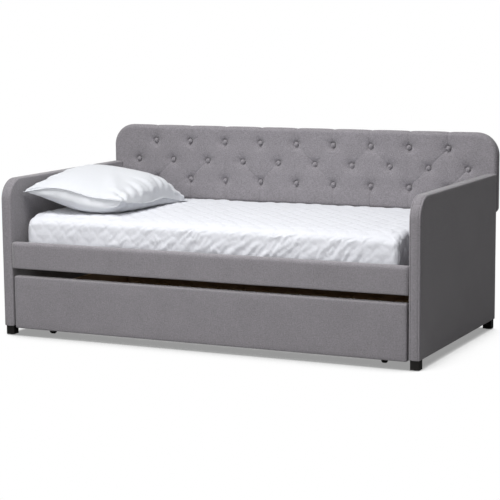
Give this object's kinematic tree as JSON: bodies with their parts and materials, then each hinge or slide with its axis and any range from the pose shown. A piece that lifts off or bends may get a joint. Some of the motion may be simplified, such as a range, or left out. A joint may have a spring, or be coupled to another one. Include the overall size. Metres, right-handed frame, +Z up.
{
  "type": "trundle daybed",
  "caption": "Upholstered daybed with a button-tufted backrest and a roll-out trundle under the seat rail, with mattress and pillow.",
  "frame": {"origin": "on the floor, centred under the bed's bounding box", "axes": "+X along the bed to the right as seen from the front, +Y to the back, +Z up; the trundle rolls out along -Y"},
  "size_m": [2.104, 1.13, 0.942],
  "materials": {
    "upholstery_fabric": "matt woven linen-look polyester, mid grey",
    "plywood": "plain birch plywood and board",
    "slat_wood": "planed pine, unvarnished",
    "leg_wood": "black-brown satin lacquer",
    "glide_plastic": "black moulded plastic",
    "zinc_steel": "zinc plated",
    "black_webbing": "black non-woven cloth, tape and twine",
    "white_quilt": "white quilted polyester cover",
    "white_cotton": "white plain-weave cotton",
    "caster_plastic": "black nylon"
  },
  "bodies": {
    "daybed": {"arm_threaded_inserts": "zinc_steel", "backrest_bolts": "zinc_steel", "backrest_buttons": "upholstery_fabric", "backrest_core": "plywood", "backrest_edge_band": "upholstery_fabric", "backrest_rear_cover": "upholstery_fabric", "backrest_struts": "plywood", "backrest_tufted_pad": "upholstery_fabric", "bed_slat_screws": "zinc_steel", "bed_slat_straps": "black_webbing", "bed_slats": "slat_wood", "button_twines": "black_webbing", "button_washers": "zinc_steel", "front_left_leg": "leg_wood", "front_rail_core": "plywood", "front_rail_cover": "upholstery_fabric", "front_right_leg": "leg_wood", "left_arm_core": "plywood", "left_arm_edge_band": "upholstery_fabric", "left_arm_inner_pad": "upholstery_fabric", "left_arm_outer_pad": "upholstery_fabric", "leg_bolts": "zinc_steel", "leg_glides": "glide_plastic", "mattress": "white_quilt", "pillow": "white_cotton", "rail_bracket_bolts": "zinc_steel", "rail_bracket_screws": "zinc_steel", "rail_brackets": "zinc_steel", "rear_left_leg": "leg_wood", "rear_rail_core": "plywood", "rear_rail_cover": "upholstery_fabric", "rear_right_leg": "leg_wood", "right_arm_core": "plywood", "right_arm_edge_band": "upholstery_fabric", "right_arm_inner_pad": "upholstery_fabric", "right_arm_outer_pad": "upholstery_fabric", "slat_ledgers": "slat_wood", "strut_dowels": "slat_wood", "strut_screws": "zinc_steel"},
    "trundle": {"caster_axles": "zinc_steel", "caster_brackets": "zinc_steel", "caster_screws": "zinc_steel", "trundle_back_board": "plywood", "trundle_beams": "slat_wood", "trundle_corner_blocks": "slat_wood", "trundle_frame_screws": "zinc_steel", "trundle_front_core": "plywood", "trundle_front_cover": "upholstery_fabric", "trundle_front_lining": "black_webbing", "trundle_left_side": "plywood", "trundle_right_side": "plywood", "trundle_slat_screws": "zinc_steel", "trundle_slats": "slat_wood"},
    "front_left_caster_wheel": {"front_left_caster_wheel": "caster_plastic"},
    "front_right_caster_wheel": {"front_right_caster_wheel": "caster_plastic"},
    "rear_left_caster_wheel": {"rear_left_caster_wheel": "caster_plastic"},
    "rear_right_caster_wheel": {"rear_right_caster_wheel": "caster_plastic"}
  },
  "joints": [
    {"name": "trundle_slide", "type": "slide", "parent": "daybed", "child": "trundle", "axis": [0, -1, 0], "range_m": [0, 1.05]},
    {"name": "front_left_caster_spin", "type": "hinge", "parent": "trundle", "child": "front_left_caster_wheel", "pos_m": [-0.85, -0.45, 0.025], "axis": [1, 0, 0], "continuous": true},
    {"name": "front_right_caster_spin", "type": "hinge", "parent": "trundle", "child": "front_right_caster_wheel", "pos_m": [0.85, -0.45, 0.025], "axis": [1, 0, 0], "continuous": true},
    {"name": "rear_left_caster_spin", "type": "hinge", "parent": "trundle", "child": "rear_left_caster_wheel", "pos_m": [-0.85, 0.42, 0.025], "axis": [1, 0, 0], "continuous": true},
    {"name": "rear_right_caster_spin", "type": "hinge", "parent": "trundle", "child": "rear_right_caster_wheel", "pos_m": [0.85, 0.42, 0.025], "axis": [1, 0, 0], "continuous": true}
  ],
  "couplings": [
    {"joint": "front_left_caster_spin", "follows": "trundle_slide", "rad_per_m": 40},
    {"joint": "front_right_caster_spin", "follows": "trundle_slide", "rad_per_m": 40},
    {"joint": "rear_left_caster_spin", "follows": "trundle_slide", "rad_per_m": 40},
    {"joint": "rear_right_caster_spin", "follows": "trundle_slide", "rad_per_m": 40}
  ]
}
